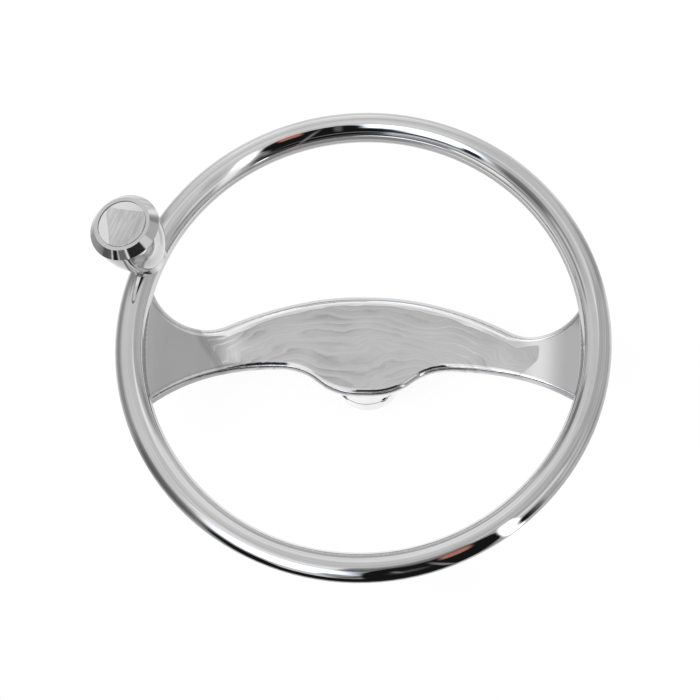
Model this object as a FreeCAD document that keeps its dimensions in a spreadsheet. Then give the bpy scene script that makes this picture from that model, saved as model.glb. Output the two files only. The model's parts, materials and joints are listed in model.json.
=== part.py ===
import FreeCAD, Part
import math
import operator
import os

import Sketcher

# Driving sizes, in millimetres and degrees
SIZES = {
    # Rim: a tube bent into a ring, with its plane this far above the end of the hub boss
    "rim_radius": 185.0,
    "rim_height": 79.0,
    "tube_diameter": 24.0,
    "tube_wall": 1.5,
    # Spoke casting, side view: a gull wing that sinks from the rim to the hub
    "hub_drop": 30.0,
    "end_drop": 3.5,
    "plate_thickness": 8.5,
    "end_depth": 11.5,
    "tip_gap": 9.0,
    "gull_radius": 250.0,
    "gull_slope": 16.6,
    "under_slope": 14.5,
    # Spoke casting, plan view: brow and neck on the upper edge, lobe, fold and arch on the lower one
    "crest_reach": 54.0,
    "crest_flat": 6.0,
    "neck_radius": 40.0,
    "right_neck": 17.5,
    "left_neck": 20.0,
    "right_neck_gap": 49.15,
    "left_neck_gap": 53.47,
    "lobe_reach": 30.0,
    "lobe_flat": 12.0,
    "lobe_radius": 50.0,
    "fold_radius": 45.0,
    "arch_clear": 8.2,
    "right_arch_radius": 185.0,
    "left_arch_radius": 152.0,
    "end_gap": 8.5,
    "brow_roll": 7.5,
    "lobe_roll": 6.0,
    "under_round": 1.5,
    "weld_gap": 0.1,
    # Hub boss: a turned block with a keyed bore for the helm shaft
    "boss_diameter": 54.0,
    "boss_chamfer": 1.2,
    "bore_diameter": 19.05,
    "key_width": 4.76,
    "key_depth": 2.4,
    "ring_groove_height": 15.5,
    "ring_groove_width": 1.2,
    "ring_groove_depth": 0.8,
    "hub_weld_size": 1.4,
    # Grub screws in the side of the boss
    "grub_diameter": 8.0,
    "grub_length": 12.0,
    "grub_sink": 0.6,
    "grub_key": 4.0,
    "grub_key_depth": 4.5,
    "grub_first_bearing": -57.0,
    "grub_second_bearing": -130.0,
    "thread_gap": 0.05,
    # Control knob: place on the rim, lean away from the axle, and heights above the tube's centre
    "knob_bearing": 158.2,
    "knob_lean": 16.5,
    "foot_diameter": 32.0,
    "foot_top": 15.2,
    "foot_skirt": 7.0,
    "foot_round": 1.0,
    "spigot_diameter": 13.0,
    "spigot_low": 3.5,
    "spindle_diameter": 10.0,
    "spindle_shoulder": 51.9,
    "spindle_thread": 8.0,
    "spindle_height": 62.0,
    "spindle_chamfer": 1.0,
    "running_gap": 0.05,
    "end_play": 0.2,
    "thrust_washer_diameter": 18.0,
    "thrust_washer_thickness": 0.8,
    "bush_wall": 2.0,
    "bush_length": 14.0,
    "bush_flange_diameter": 19.0,
    "bush_flange_thickness": 1.3,
    "fit_gap": 0.05,
    "core_seat": 50.4,
    "core_top": 55.5,
    "nut_well_diameter": 24.0,
    "head_washer_thickness": 1.6,
    "spring_washer_diameter": 14.8,
    "spring_washer_thickness": 1.4,
    "nut_width": 13.0,
    "nut_height": 6.5,
    "nut_chamfer": 0.8,
    "bell_gap": 0.8,
    "bell_foot_radius": 17.6,
    "bell_top_radius": 27.5,
    "belly_radius": 95.0,
    "bell_wall": 2.0,
    "bell_height": 60.6,
    "bezel_radius": 28.7,
    "bezel_land": 1.5,
    "bezel_lip": 2.0,
    "bezel_bore": 35.0,
    "knob_height": 68.9,
    "top_radius": 23.3,
    "cap_diameter": 39.4,
    "cap_gap": 0.5,
    "cap_thickness": 2.5,
    "cap_round": 0.4,
}

# Limits of the checks: a length that counts as zero, the least volume that a cut takes off, and how far
# the upright share of a face's direction may go for a side wall and must go for a top or an underside
ZERO_LENGTH = 1e-9
LEAST_CUT = 1.0
WALL_LIMIT = 0.01
FACE_LIMIT = 0.5

# Half of the angle that one side of a hexagon takes up at its centre, in degrees
HALF_SIDE = 30.0

doc = FreeCAD.newDocument("boat_steering_wheel")
sheet = doc.addObject("Spreadsheet::Sheet", "Sizes")
for row, (name, value) in enumerate(SIZES.items(), start=1):
    sheet.set(f"A{row}", name)
    sheet.set(f"B{row}", str(value))
    sheet.setAlias(f"B{row}", name)
doc.recompute()


class Size:
    """A number together with the sheet formula that gives it."""

    def __init__(self, number, formula):
        self.number = float(number)
        self.formula = formula

    def join(self, other, sign, work, flip=False):
        other = as_size(other)
        first, second = (other, self) if flip else (self, other)
        return Size(work(first.number, second.number), f"({first.formula} {sign} {second.formula})")

    def __add__(self, other):
        return self.join(other, "+", operator.add)

    def __radd__(self, other):
        return self.join(other, "+", operator.add, flip=True)

    def __sub__(self, other):
        return self.join(other, "-", operator.sub)

    def __rsub__(self, other):
        return self.join(other, "-", operator.sub, flip=True)

    def __mul__(self, other):
        return self.join(other, "*", operator.mul)

    def __rmul__(self, other):
        return self.join(other, "*", operator.mul, flip=True)

    def __truediv__(self, other):
        return self.join(other, "/", operator.truediv)

    def __neg__(self):
        return Size(-self.number, f"(0 - {self.formula})")


def as_size(value):
    return value if isinstance(value, Size) else Size(value, repr(float(value)))


def root(size):
    return Size(math.sqrt(size.number), f"sqrt({size.formula})")


def sine(angle):
    return Size(math.sin(math.radians(angle.number)), f"sin({angle.formula})")


def cosine(angle):
    return Size(math.cos(math.radians(angle.number)), f"cos({angle.formula})")


def tangent(angle):
    return Size(math.tan(math.radians(angle.number)), f"tan({angle.formula})")


def size(name):
    return Size(SIZES[name], f"Sizes.{name}")


def corner_radius(width):
    """Distance from the centre of a hexagon to its corners, from its width across the flats."""
    return width / 2 / cosine(as_size(HALF_SIDE))


def bind(item, **properties):
    """Tie each named property of an object to its formula."""
    for name, value in properties.items():
        item.setExpression(name, as_size(value).formula)


def plane(body, role):
    return next(item for item in body.Origin.OriginFeatures if item.Role == role)


def new_sketch(body, name, role):
    sketch = body.newObject("Sketcher::SketchObject", name)
    sketch.AttachmentSupport = [(plane(body, role), "")]
    sketch.MapMode = "FlatFace"
    return sketch


def fix(sketch, kind, geometry, end, distance):
    """Hold one coordinate of a point at a signed distance from the sketch's origin."""
    if abs(distance.number) < ZERO_LENGTH:
        axis = -2 if kind == "DistanceX" else -1
        sketch.addConstraint(Sketcher.Constraint("PointOnObject", geometry, end, axis))
        return
    if distance.number > 0:
        index = sketch.addConstraint(Sketcher.Constraint(kind, -1, 1, geometry, end, distance.number))
    else:
        distance = -distance
        index = sketch.addConstraint(Sketcher.Constraint(kind, geometry, end, -1, 1, distance.number))
    sketch.setExpression(f"Constraints[{index}]", distance.formula)


def draw(sketch, corners):
    """Close an outline through corners (x, y, bend). The bend leads to the next corner: None for a straight
    run, or (radius, turn), where turn is 1 for an arc to the left and -1 for one to the right."""
    corners = [(as_size(x), as_size(y), bend) for x, y, bend in corners]
    lines = []
    for (x, y, bend), (next_x, next_y, _) in zip(corners, corners[1:] + corners[:1]):
        start = FreeCAD.Vector(x.number, y.number, 0)
        finish = FreeCAD.Vector(next_x.number, next_y.number, 0)
        if bend is None:
            index = sketch.addGeometry(Part.LineSegment(start, finish), False)
            lines.append((index, 1, 2))
            continue
        radius, turn = as_size(bend[0]), bend[1]
        chord = finish - start
        height = math.sqrt(max(radius.number**2 - (chord.Length / 2) ** 2, 0.0))
        across = FreeCAD.Vector(-chord.y, chord.x, 0).normalize()
        centre = (start + finish) * 0.5 + across * (height * turn)
        first, last = (start, finish) if turn > 0 else (finish, start)
        begin = math.atan2(first.y - centre.y, first.x - centre.x)
        end = math.atan2(last.y - centre.y, last.x - centre.x)
        if end < begin:
            end += 2 * math.pi
        circle = Part.Circle(centre, FreeCAD.Vector(0, 0, 1), radius.number)
        index = sketch.addGeometry(Part.ArcOfCircle(circle, begin, end), False)
        lines.append((index, 1, 2) if turn > 0 else (index, 2, 1))
        constraint = sketch.addConstraint(Sketcher.Constraint("Radius", index, radius.number))
        sketch.setExpression(f"Constraints[{constraint}]", radius.formula)
    for (index, _, end), (following, start, _) in zip(lines, lines[1:] + lines[:1]):
        sketch.addConstraint(Sketcher.Constraint("Coincident", index, end, following, start))
    for (index, start, _), (x, y, _) in zip(lines, corners):
        fix(sketch, "DistanceX", index, start, x)
        fix(sketch, "DistanceY", index, start, y)


def turned(name, corners):
    """Turn a half section, given as radius and height, about the upright axis of its own body."""
    body = doc.addObject("PartDesign::Body", name)
    sketch = new_sketch(body, f"{name}_section", "XZ_Plane")
    draw(sketch, corners)
    turn = body.newObject("PartDesign::Revolution", f"{name}_turn")
    turn.Profile = sketch
    turn.ReferenceAxis = (sketch, ["V_Axis"])
    turn.Angle = 360
    body.Tip = turn
    doc.recompute()
    return body


def ring(name, inner, outer, low, high):
    """A plain washer or sleeve between two radii and two heights."""
    corners = [(inner, low, None), (outer, low, None), (outer, high, None), (inner, high, None)]
    return turned(name, corners)


def joined(kind, name, base, tool):
    item = doc.addObject(f"Part::{kind}", name)
    item.Base = base
    item.Tool = tool
    return item


def placed(item, where, turn=None):
    """Bind the placement to three lengths and, where given, to an axis and an angle."""
    x, y, z = (as_size(value).formula for value in where)
    rotation = "rotation(vector(0; 0; 1); 0)"
    if turn:
        axis, angle = turn
        ax, ay, az = (as_size(value).formula for value in axis)
        rotation = f"rotation(vector({ax}; {ay}; {az}); {as_size(angle).formula})"
    item.setExpression("Placement", f"placement(vector({x}; {y}; {z}); {rotation})")
    return item


# Values that several pieces share
tube_radius = size("tube_diameter") / 2
rim_radius = size("rim_radius")
rim_height = size("rim_height")
hub_top = rim_height - size("hub_drop")
hub_under = hub_top - size("plate_thickness")
boss_radius = size("boss_diameter") / 2
bore_radius = size("bore_diameter") / 2
bearing = size("knob_bearing")
outward = (cosine(bearing), sine(bearing))
knob_spot = (rim_radius * outward[0], rim_radius * outward[1], rim_height)
knob_turn = ((-outward[1], outward[0], 0), size("knob_lean"))


def on_knob_axis(item):
    """Stand a piece on the leaning axis of the knob, with its zero height at the tube's centre."""
    return placed(item, knob_spot, knob_turn)


def torus(name, radius):
    item = doc.addObject("Part::Torus", name)
    bind(item, Radius1=rim_radius, Radius2=radius)
    return placed(item, (0, 0, rim_height))


# Rim: a hollow ring, drilled for the spigot of the knob's foot
rim_outside = torus("rim_outside", tube_radius)
rim_inside = torus("rim_inside", tube_radius - size("tube_wall"))
spigot_hole = doc.addObject("Part::Cylinder", "spigot_hole")
bind(spigot_hole, Radius=size("spigot_diameter") / 2 + size("fit_gap"), Height=tube_radius * 2)
on_knob_axis(spigot_hole)
rim_ring = joined("Cut", "rim_ring", rim_outside, rim_inside)
rim_tube = joined("Cut", "rim_tube", rim_ring, spigot_hole)


# Spoke casting: plan outline padded upward, then cut to the gull-wing side view. Its reach, its ends and
# its necks stay a stated gap inside the circle of the tube's centre
end_radius = rim_radius - size("end_gap")


def meet_end(centre_x, centre_y, radius, side):
    """Where a circle of the outline crosses the end circle. Side picks one of the two points."""
    reach = root(centre_x * centre_x + centre_y * centre_y)
    along = (reach * reach + end_radius * end_radius - radius * radius) / (reach * 2)
    across = root(end_radius * end_radius - along * along) * side
    x = (along * centre_x + across * centre_y) / reach
    y = (along * centre_y - across * centre_x) / reach
    return x, y


def half_outline(neck, neck_gap, arch_radius):
    """Corners of one arm from the crest round to the lobe, with the arm towards +X. The brow's radius is the
    one whose circle touches the flat of the crest and the circle of the neck."""
    curl = size("neck_radius")
    crest, flat = size("crest_reach"), size("crest_flat") / 2
    neck_x, neck_y = rim_radius - neck_gap, neck + curl
    along, across = neck_x - flat, neck_y - crest
    brow = (along * along + across * across - curl * curl) / ((curl - across) * 2)
    brow_y = crest - brow
    share = brow / (brow + curl)
    brow_end = (flat + (neck_x - flat) * share, brow_y + (neck_y - brow_y) * share)
    upper_end = meet_end(neck_x, neck_y, curl, 1)
    lobe, fold = size("lobe_radius"), size("fold_radius")
    lobe_flat, low = size("lobe_flat") / 2, size("lobe_reach")
    lobe_y = lobe - low
    fold_y = -size("arch_clear") - fold
    fold_x = lobe_flat + root((lobe + fold) * (lobe + fold) - (lobe_y - fold_y) * (lobe_y - fold_y))
    share = lobe / (lobe + fold)
    lobe_end = (lobe_flat + (fold_x - lobe_flat) * share, lobe_y + (fold_y - lobe_y) * share)
    lower_end = meet_end(fold_x, -size("arch_clear") - arch_radius, arch_radius, -1)
    return [
        (flat, crest, (brow, -1)),
        (*brow_end, (curl, 1)),
        (*upper_end, (end_radius, -1)),
        (*lower_end, (arch_radius, 1)),
        (fold_x, -size("arch_clear"), (fold, 1)),
        (*lobe_end, (lobe, -1)),
        (lobe_flat, -low, None),
    ]


def mirrored(corners):
    """The same arm on the other side, walked the other way round."""
    bends = [bend for _, _, bend in corners[:-1]]
    points = [(-x, y) for x, y, _ in reversed(corners)]
    return [(x, y, bend) for (x, y), bend in zip(points, list(reversed(bends)) + [None])]


def gull_line(low, rise, slope):
    """Side view of one face of the casting from the left end to the right one."""
    curve, reach = size("gull_radius"), rim_radius - size("tip_gap")
    turn_x = curve * sine(slope)
    turn_z = curve * (1 - cosine(slope))
    flat_x = reach - turn_x - (rise - turn_z) / tangent(slope)
    arm_x, arm_z = flat_x + turn_x, low + turn_z
    tip_x = end_radius + tube_radius
    tip_z = arm_z + (tip_x - arm_x) * tangent(slope)
    return [
        (-tip_x, tip_z, None),
        (-arm_x, arm_z, (curve, 1)),
        (-flat_x, low, None),
        (flat_x, low, (curve, 1)),
        (arm_x, arm_z, None),
        (tip_x, tip_z, None),
    ]


def trim(body, name, corners):
    """Cut a side-view outline right through the casting."""
    sketch = new_sketch(body, f"{name}_line", "XZ_Plane")
    draw(sketch, corners)
    pocket = body.newObject("PartDesign::Pocket", name)
    pocket.Profile = sketch
    pocket.Type = "ThroughAll"
    pocket.Midplane = True
    body.Tip = pocket
    before = body.Shape.Volume
    doc.recompute()
    if body.Shape.Volume > before - LEAST_CUT:
        raise RuntimeError(f"{name} cut nothing")
    return pocket


def normal_at_middle(face):
    u0, u1, v0, v1 = face.ParameterRange
    return face.normalAt((u0 + u1) / 2, (v0 + v1) / 2)


def is_side_wall(face):
    """An upright wall of the plan outline, other than the two end walls under the rim."""
    middle = face.CenterOfMass
    at_end = math.hypot(middle.x, middle.y) > end_radius.number - tube_radius.number
    return abs(normal_at_middle(face).z) < WALL_LIMIT and not at_end


def wall_edges(shape, up, side):
    """Names of the edges between the side walls and the top (up 1) or the underside (up -1).
    Side 1 picks the upper edge of the outline, side -1 the lower one."""
    walls = [face for face in shape.Faces if is_side_wall(face)]
    faces = [face for face in shape.Faces if normal_at_middle(face).z * up > FACE_LIMIT]
    names = []
    for number, edge in enumerate(shape.Edges, start=1):
        in_wall = any(edge.isSame(item) for face in walls for item in face.Edges)
        in_face = any(edge.isSame(item) for face in faces for item in face.Edges)
        if in_wall and in_face and edge.CenterOfMass.y * side > 0:
            names.append(f"Edge{number}")
    return names


def rolled(body, name, radius, edges):
    """Round the named edges of the body as it stands."""
    base = body.Tip
    fillet = body.newObject("PartDesign::Fillet", name)
    fillet.Base = (base, edges)
    bind(fillet, Radius=radius)
    body.Tip = fillet
    doc.recompute()
    return fillet


casting = doc.addObject("PartDesign::Body", "spoke_casting")
outline = new_sketch(casting, "plan_outline", "XY_Plane")
right_arm = half_outline(size("right_neck"), size("right_neck_gap"), size("right_arch_radius"))
left_arm = half_outline(size("left_neck"), size("left_neck_gap"), size("left_arch_radius"))
draw(outline, right_arm + mirrored(left_arm))
slab = casting.newObject("PartDesign::Pad", "plan_slab")
slab.Profile = outline
bind(slab, Length=rim_height + tube_radius)
casting.Tip = slab
doc.recompute()

top_rise = size("hub_drop") - size("end_drop")
under_rise = top_rise - size("end_depth") + size("plate_thickness")
sky = rim_height + tube_radius * 2
tip = end_radius + tube_radius
over_line = gull_line(hub_top, top_rise, size("gull_slope"))
under_line = gull_line(hub_under, under_rise, size("under_slope"))
trim(casting, "top_cut", over_line + [(tip, sky, None), (-tip, sky, None)])
trim(casting, "under_cut", under_line + [(tip, -tube_radius, None), (-tip, -tube_radius, None)])

rolled(casting, "brow_rounding", size("brow_roll"), wall_edges(casting.Shape, 1, 1))
rolled(casting, "lobe_rounding", size("lobe_roll"), wall_edges(casting.Shape, 1, -1))
under_edges = wall_edges(casting.Shape, -1, 1) + wall_edges(casting.Shape, -1, -1)
rolled(casting, "under_rounding", size("under_round"), under_edges)

cope_line = new_sketch(casting, "cope_line", "XZ_Plane")
cope_circle = Part.Circle(
    FreeCAD.Vector(rim_radius.number, rim_height.number, 0), FreeCAD.Vector(0, 0, 1), tube_radius.number
)
cope_line.addGeometry(cope_circle, False)
fix(cope_line, "DistanceX", 0, 3, rim_radius)
fix(cope_line, "DistanceY", 0, 3, rim_height)
cope_size = cope_line.addConstraint(Sketcher.Constraint("Radius", 0, tube_radius.number))
cope_line.setExpression(f"Constraints[{cope_size}]", (tube_radius + size("weld_gap")).formula)
before_cope = casting.Shape.Volume
cope = casting.newObject("PartDesign::Groove", "cope")
cope.Profile = cope_line
cope.ReferenceAxis = (cope_line, ["V_Axis"])
cope.Angle = 360
casting.Tip = cope
doc.recompute()
if casting.Shape.Volume > before_cope - LEAST_CUT:
    raise RuntimeError("the cope cut nothing")

# Hub boss: turned block with a keyed bore, a ring groove and two threaded holes for the grub screws
chamfer = size("boss_chamfer")
groove_low = size("ring_groove_height") - size("ring_groove_width") / 2
groove_high = size("ring_groove_height") + size("ring_groove_width") / 2
groove_floor = boss_radius - size("ring_groove_depth")
boss_turning = turned(
    "boss_turning",
    [
        (bore_radius, 0, None),
        (boss_radius - chamfer, 0, None),
        (boss_radius, chamfer, None),
        (boss_radius, groove_low, None),
        (groove_floor, groove_low, None),
        (groove_floor, groove_high, None),
        (boss_radius, groove_high, None),
        (boss_radius, hub_under, None),
        (bore_radius, hub_under, None),
    ],
)
keyway = doc.addObject("Part::Box", "keyway")
bind(keyway, Length=bore_radius + size("key_depth"), Width=size("key_width"), Height=hub_under)
placed(keyway, (0, -size("key_width") / 2, 0))
keyed_boss = joined("Cut", "keyed_boss", boss_turning, keyway)


def grub_axis(item, bearing, radius):
    """Lay a piece along the line of a grub screw, pointing inward, with its base at a radius."""
    along = (cosine(bearing), sine(bearing))
    where = (radius * along[0], radius * along[1], size("ring_groove_height"))
    return placed(item, where, ((along[1], -along[0], 0), 90))


boss = keyed_boss
screws = []
screw_radius = size("grub_diameter") / 2
for side in ("first", "second"):
    bearing_of_screw = size(f"grub_{side}_bearing")
    hole = doc.addObject("Part::Cylinder", f"{side}_screw_hole")
    bind(hole, Radius=screw_radius + size("thread_gap"), Height=boss_radius)
    grub_axis(hole, bearing_of_screw, boss_radius + chamfer)
    boss = joined("Cut", f"boss_with_{side}_hole", boss, hole)
    shank = doc.addObject("Part::Cylinder", f"{side}_screw_shank")
    bind(shank, Radius=screw_radius, Height=size("grub_length"))
    grub_axis(shank, bearing_of_screw, boss_radius - size("grub_sink"))
    socket = doc.addObject("Part::Prism", f"{side}_screw_socket")
    socket.Polygon = 6
    bind(socket, Circumradius=corner_radius(size("grub_key")), Height=size("grub_key_depth"))
    grub_axis(socket, bearing_of_screw, boss_radius - size("grub_sink"))
    screws.append(joined("Cut", f"{side}_screw", shank, socket))
boss.Label = "hub_boss"
grub_screws = doc.addObject("Part::Compound", "grub_screws")
grub_screws.Links = screws

# Hub weld: a polished fillet of filler metal round the top of the boss
weld_leg = size("hub_weld_size")
turned(
    "hub_weld",
    [
        (boss_radius, hub_under - weld_leg, (weld_leg, -1)),
        (boss_radius + weld_leg, hub_under, None),
        (boss_radius, hub_under, None),
    ],
)

# Knob foot: a flange that saddles the tube, with a threaded spigot in the tube's wall
foot_radius, foot_top = size("foot_diameter") / 2, size("foot_top")
thread_radius = size("spindle_thread") / 2
bolt_hole = thread_radius + size("thread_gap")
foot_round = size("foot_round")
foot_turning = turned(
    "foot_turning",
    [
        (bolt_hole, size("foot_skirt"), None),
        (foot_radius, size("foot_skirt"), None),
        (foot_radius, foot_top - foot_round, (foot_round, 1)),
        (foot_radius - foot_round, foot_top, None),
        (bolt_hole, foot_top, None),
    ],
)
saddle = torus("saddle", tube_radius)
on_knob_axis(foot_turning)
foot_saddle = joined("Cut", "foot_saddle", foot_turning, saddle)
foot_spigot = ring(
    "foot_spigot",
    bolt_hole,
    size("spigot_diameter") / 2,
    size("spigot_low"),
    foot_top - foot_round,
)
on_knob_axis(foot_spigot)
knob_foot = joined("Fuse", "knob_foot", foot_saddle, foot_spigot)
knob_foot.Refine = True

# Knob spindle: a shoulder bolt with a thread at each end
shoulder_radius = size("spindle_diameter") / 2
on_knob_axis(
    turned(
        "knob_spindle",
        [
            (0, size("spigot_low"), None),
            (thread_radius, size("spigot_low"), None),
            (thread_radius, foot_top, None),
            (shoulder_radius, foot_top, None),
            (shoulder_radius, size("spindle_shoulder"), None),
            (thread_radius, size("spindle_shoulder"), None),
            (thread_radius, size("spindle_height") - size("spindle_chamfer"), None),
            (thread_radius - size("spindle_chamfer"), size("spindle_height"), None),
            (0, size("spindle_height"), None),
        ],
    )
)

# Bearings of the knob: a thrust washer on the foot and two flanged bushes in the core
slide_radius = shoulder_radius + size("running_gap")
bush_radius = shoulder_radius + size("bush_wall")
flange_radius = size("bush_flange_diameter") / 2
washer_top = foot_top + size("thrust_washer_thickness")
on_knob_axis(ring("thrust_washer", slide_radius, size("thrust_washer_diameter") / 2, foot_top, washer_top))
lower_flange = washer_top + size("end_play")
core_low = lower_flange + size("bush_flange_thickness")
core_seat = size("core_seat")
upper_flange = core_seat + size("bush_flange_thickness")
on_knob_axis(
    turned(
        "lower_bush",
        [
            (slide_radius, lower_flange, None),
            (flange_radius, lower_flange, None),
            (flange_radius, core_low, None),
            (bush_radius, core_low, None),
            (bush_radius, core_low + size("bush_length"), None),
            (slide_radius, core_low + size("bush_length"), None),
        ],
    )
)
on_knob_axis(
    turned(
        "upper_bush",
        [
            (slide_radius, core_seat - size("bush_length"), None),
            (bush_radius, core_seat - size("bush_length"), None),
            (bush_radius, core_seat, None),
            (flange_radius, core_seat, None),
            (flange_radius, upper_flange, None),
            (slide_radius, upper_flange, None),
        ],
    )
)

# Head of the spindle: plain washer, split washer and nut
head_low = size("spindle_shoulder")
head_high = head_low + size("head_washer_thickness")
spring_high = head_high + size("spring_washer_thickness")
on_knob_axis(ring("head_washer", bolt_hole, flange_radius, head_low, head_high))
on_knob_axis(ring("spring_washer", bolt_hole, size("spring_washer_diameter") / 2, head_high, spring_high))
nut_block = doc.addObject("Part::Prism", "nut_block")
nut_block.Polygon = 6
bind(nut_block, Circumradius=corner_radius(size("nut_width")), Height=size("nut_height"))
nut_thread = doc.addObject("Part::Cylinder", "nut_thread")
bind(nut_thread, Radius=bolt_hole, Height=size("nut_height"))
plain_nut = joined("Cut", "plain_nut", nut_block, nut_thread)
nut_chamfer = size("nut_chamfer")
nut_waist = size("nut_width") / 2
nut_corner = corner_radius(size("nut_width")) + nut_chamfer
nut_dome = turned(
    "nut_dome",
    [
        (0, 0, None),
        (nut_waist, 0, None),
        (nut_corner, nut_chamfer, None),
        (nut_corner, size("nut_height") - nut_chamfer, None),
        (nut_waist, size("nut_height"), None),
        (0, size("nut_height"), None),
    ],
)
retaining_nut = joined("Common", "retaining_nut", plain_nut, nut_dome)
lean = size("knob_lean")
nut_spot = (
    knob_spot[0] + spring_high * sine(lean) * outward[0],
    knob_spot[1] + spring_high * sine(lean) * outward[1],
    knob_spot[2] + spring_high * cosine(lean),
)
placed(retaining_nut, nut_spot, knob_turn)

# Knob bell: a spun shell with a bulging side, open at the top and the foot
bell_low = foot_top + size("bell_gap")
bell_high = size("bell_height")
belly = size("belly_radius")
wall = size("bell_wall")
bell_foot, bell_top = size("bell_foot_radius"), size("bell_top_radius")
on_knob_axis(
    turned(
        "knob_bell",
        [
            (bell_foot - wall, bell_low, None),
            (bell_foot, bell_low, (belly, 1)),
            (bell_top, bell_high, None),
            (bell_top - wall, bell_high, (belly - wall, -1)),
        ],
    )
)

# Knob core: moulded filling of the bell, bored for the bushes, with a well for the nut
fit = size("fit_gap")
well_radius = size("nut_well_diameter") / 2
core_top = size("core_top")
core_wall = wall + fit
slope_high = (core_top - bell_low) / (bell_high - bell_low)
slope_low = (core_low - bell_low) / (bell_high - bell_low)
core_foot_radius = bell_foot - core_wall + (bell_top - bell_foot) * slope_low
core_top_radius = bell_top - core_wall + (bell_top - bell_foot) * (slope_high - 1)
on_knob_axis(
    turned(
        "knob_core",
        [
            (bush_radius + fit, core_low, None),
            (core_foot_radius, core_low, (belly, 1)),
            (core_top_radius, core_top, None),
            (well_radius, core_top, None),
            (well_radius, core_seat, None),
            (bush_radius + fit, core_seat, None),
        ],
    )
)

# Knob bezel: turned ring with the widest land, a chamfer and the seat of the cap
bezel, land = size("bezel_radius"), size("bezel_land")
knob_top = size("knob_height")
cap_radius = size("cap_diameter") / 2
cap_seat = knob_top - size("cap_thickness")
lip_radius = bell_top - wall - fit
bezel_bore = size("bezel_bore") / 2
on_knob_axis(
    turned(
        "knob_bezel",
        [
            (bezel_bore, bell_high - size("bezel_lip"), None),
            (lip_radius, bell_high - size("bezel_lip"), None),
            (lip_radius, bell_high, None),
            (bezel, bell_high, None),
            (bezel, bell_high + land, None),
            (size("top_radius"), knob_top, None),
            (cap_radius + size("cap_gap"), knob_top, None),
            (cap_radius + size("cap_gap"), cap_seat, None),
            (bezel_bore, cap_seat, None),
        ],
    )
)
cap_round = size("cap_round")
on_knob_axis(
    turned(
        "knob_cap",
        [
            (0, cap_seat, None),
            (cap_radius, cap_seat, None),
            (cap_radius, knob_top - cap_round, (cap_round, 1)),
            (cap_radius - cap_round, knob_top, None),
            (0, knob_top, None),
        ],
    )
)
doc.recompute()

# Parts: each one is checked, then written under its label
NODES = [
    "rim_tube", "spoke_casting", "hub_boss", "hub_weld", "grub_screws", "knob_foot", "knob_spindle",
    "thrust_washer", "lower_bush", "upper_bush", "head_washer", "spring_washer", "retaining_nut",
    "knob_bell", "knob_core", "knob_bezel", "knob_cap",
]
for item in doc.Objects:
    if "Invalid" in item.State or "Error" in item.State:
        raise RuntimeError(f"{item.Name} did not build")
pieces = {name: doc.getObjectsByLabel(name)[0] for name in NODES}
for name, item in pieces.items():
    if item.Shape.isNull() or not item.Shape.isValid() or not item.Shape.Solids:
        raise RuntimeError(f"{name} has no valid solid")
os.makedirs("parts", exist_ok=True)
for name, item in pieces.items():
    item.Shape.exportStep(f"parts/{name}.step")
    box = item.Shape.BoundBox
    print(f"{name}: {len(item.Shape.Solids)} solids, {item.Shape.Volume / 1000:.2f} cm3, "
          f"z {box.ZMin:.1f} to {box.ZMax:.1f}")
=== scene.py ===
# %% [markdown]
# # A boat's steering wheel in polished stainless steel
#
# The wheel has a tubular rim, one broad gull-wing casting for its two spokes and hub, a keyed boss below
# and a turning knob on the rim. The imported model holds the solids, so this script adds what a solid lacks:
# polish, weld beads, a table to lie on and a light tent to mirror. Mirror steel has hardly any colour of
# its own, so most of the picture is made by what stands round it.

import json
import math

import bpy
import numpy as np
from mathutils import Matrix, Vector


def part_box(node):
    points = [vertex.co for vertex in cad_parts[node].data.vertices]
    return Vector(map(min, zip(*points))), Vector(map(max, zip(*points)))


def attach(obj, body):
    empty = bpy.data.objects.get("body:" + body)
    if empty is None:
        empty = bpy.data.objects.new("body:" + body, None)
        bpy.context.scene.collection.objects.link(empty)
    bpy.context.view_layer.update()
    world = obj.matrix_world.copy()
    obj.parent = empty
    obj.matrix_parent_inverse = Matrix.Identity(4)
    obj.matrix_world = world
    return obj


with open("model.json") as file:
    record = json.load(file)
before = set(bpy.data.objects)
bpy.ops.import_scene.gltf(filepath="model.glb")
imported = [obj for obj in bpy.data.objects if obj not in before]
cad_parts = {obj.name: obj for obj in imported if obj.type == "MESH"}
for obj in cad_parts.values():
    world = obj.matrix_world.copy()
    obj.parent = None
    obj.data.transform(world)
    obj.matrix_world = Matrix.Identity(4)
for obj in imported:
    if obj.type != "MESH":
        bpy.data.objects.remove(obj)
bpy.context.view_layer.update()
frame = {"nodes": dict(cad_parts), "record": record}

# %% [markdown]
# ## Sizes from the model
#
# Nothing is measured twice. The rim's box gives the ring's radius, its height and the tube's radius,
# and the joint gives the axis on which the knob turns.

# %% Sizes from the model
AXES = ((1.0, 0.0, 0.0), (0.0, 1.0, 0.0), (0.0, 0.0, 1.0))

rim_low, rim_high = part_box("rim_tube")
tube_radius = (rim_high.z - rim_low.z) / 2
rim_radius = (rim_high.x - rim_low.x) / 2 - tube_radius
rim_height = (rim_high.z + rim_low.z) / 2
rim_centre = Vector((0, 0, rim_height))
knob_joint = frame["record"]["behaviour"]["joints"][0]
knob_spot = Vector(knob_joint["pos_m"])
knob_axis = Vector(knob_joint["axis"]).normalized()
knob_side = Vector((0, 0, 1)).cross(knob_axis).normalized()
knob_out = knob_axis.cross(knob_side)
print(f"rim radius {rim_radius:.4f}, tube radius {tube_radius:.4f}, height {rim_height:.4f}")

# %% [markdown]
# ## The camera
#
# The photograph looks down on the wheel from its lower edge with a long lens, so the rim is a nearly even
# ellipse. The camera's place and its three directions are written out, and its lens is worked out from
# how many pixels a metre takes up at the wheel.

# %% The camera
SENSOR_WIDTH = 36.0
PHOTO_WIDTH = 700
FOCAL_PIXELS = 8838.9
CAMERA_PLACE = (0.41322, -2.32761, 6.66775)
FAR_LIMIT = 100

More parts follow.
